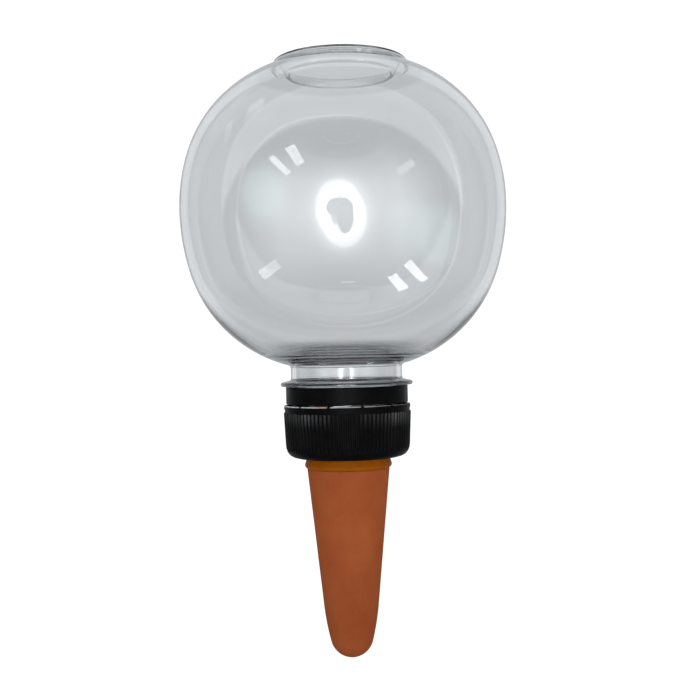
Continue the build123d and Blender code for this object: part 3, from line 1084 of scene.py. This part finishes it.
def make_panels():
    """The windows, soft patches and fill lights."""
    for name, panel in WINDOWS.items():
        make_panel(name, panel, glow(name, panel["strength"], pass_shares=PASS_SHARES), "diffuse")
    for name, panel in REAR_WINDOWS.items():
        make_panel(name, panel, glow(name, panel["strength"]), "diffuse")
    for name, panel in PATCHES.items():
        material = glow(name, panel["strength"], PATCH_FADE, PATCH_TINT, PASS_SHARES)
        make_panel(name, panel, material, "diffuse")
    for name, panel in FILLS.items():
        make_panel(name, panel, glow(name, panel["strength"]), "glossy", "transmission")


class Surroundings(Tree):
    """The world's nodes, with greys by direction."""

    def __init__(self, world):
        super().__init__(world)
        self.direction = self.output("TexCoord", "Generated")

    def vectors(self, operation, vector, other=None):
        """A new node for a sum on one vector or two."""
        node = self.add("VectorMath", operation=operation)
        self.feed(node.inputs[0], vector)
        if other:
            self.feed(node.inputs[1], other)
        return node

    def squashed(self, vector, height):
        """A direction with its rise scaled, so that a cone about it is wide or tall."""
        scaled = self.vectors("MULTIPLY", vector, (1, 1, height)).outputs["Vector"]
        return self.vectors("NORMALIZE", scaled).outputs["Vector"]

    def by_angle(self, towards, stops, vector=None):
        """Greys by the angle of a vector from a direction, in order from the largest angle down."""
        facing = self.vectors("DOT_PRODUCT", vector or self.direction, Vector(towards).normalized())
        share = self.add("MapRange")
        self.feed(share.inputs["From Min"], -1)
        self.feed(share.inputs["Value"], facing.outputs["Value"])
        placed = [((1 + cos(radians(angle))) / 2, level) for angle, level in stops]
        return self.ramp(share.outputs["Result"], *placed)


def make_world():
    """The surroundings, by direction and by what a ray has met on its way."""
    world = bpy.data.worlds.new("studio")
    bpy.context.scene.world = world
    sky = Surroundings(world)

    # Depths are whole numbers, so more than a half is once or more
    path = sky.add("LightPath")
    passed = sky.maths("GREATER_THAN", path.outputs["Transmission Depth"], 0.5)
    mirrored = sky.maths("GREATER_THAN", path.outputs["Glossy Depth"], 0.5)
    mirrored_outside = sky.maths("SUBTRACT", mirrored, passed)
    turned = sky.maths("ADD", mirrored, path.outputs["Diffuse Depth"])
    only_passed = sky.maths("SUBTRACT", passed, turned)

    folded = sky.vectors("ABSOLUTE", sky.direction).outputs["Vector"]
    backdrop = sky.by_angle(REAR, BACKDROP_BY_ANGLE, sky.squashed(folded, BACKDROP_SQUASH))
    behind = sky.mix("MULTIPLY", backdrop, sky.by_angle(DOWN, BELOW_BY_ANGLE))
    behind = sky.mix("MULTIPLY", behind, sky.by_angle(REAR, HALF_BY_ANGLE))

    by_turn = sky.by_angle(FRONT, FRONT_BY_TURN, sky.squashed(sky.direction, FRONT_SQUASH))
    before = sky.mix("MULTIPLY", by_turn, sky.by_angle(UP, FRONT_BY_RISE))
    before = sky.mix("MULTIPLY", before, grey(FRONT_OUTER_SHARE), mirrored_outside)
    before = sky.mix("ADD", before, sky.by_angle(CEILING_TOWARDS, CEILING_BY_ANGLE))
    before = sky.mix("MULTIPLY", before, sky.by_angle(FRONT, HALF_BY_ANGLE))

    lit_line = sky.by_angle(LINE_TOWARDS, LINE_BY_ANGLE)
    lit_line = sky.mix("MULTIPLY", lit_line, sky.by_angle(LINE_SIDE, LINE_SHARE_BY_ANGLE))
    around = sky.mix("ADD", sky.mix("ADD", behind, before), lit_line)

    through = sky.mix("MULTIPLY", backdrop, sky.by_angle(DOWN, BELOW_THROUGH_BY_ANGLE))
    through = sky.mix("MULTIPLY", through, sky.by_angle(UP, ABOVE_THROUGH_BY_ANGLE))
    seen = sky.mix("MIX", around, through, only_passed)
    sky.feed(sky.nodes["Background"].inputs["Color"], sky.mix("MULTIPLY", seen, (*COOL_TINT, 1)))


def main():
    make_camera()
    make_world()
    make_floor()
    make_camera_lights()
    make_panels()

    cap_black = black_plastic("cap_black", CAP_ROUGHNESS, marked=True)
    band_black = black_plastic("band_black", BAND_ROUGHNESS)
    dress(make_globe(), clear_polyester(), "globe", "globe")
    dress(make_cap(), cap_black, "spike_cap", "screw_cap")
    dress(make_bridges(), band_black, "spike_cap", None)
    dress(make_band(), band_black, "tamper_band", "tamper_band")
    dress(make_spike(), fired_clay(), "spike_cap", "terracotta_spike")
    dress(make_seal(), amber_rubber(), "spike_cap", "seal_ring")
    dress(make_gasket(), white_foam(), "spike_cap", "gasket")
    bpy.context.scene.view_settings.view_transform = "Standard"


main()
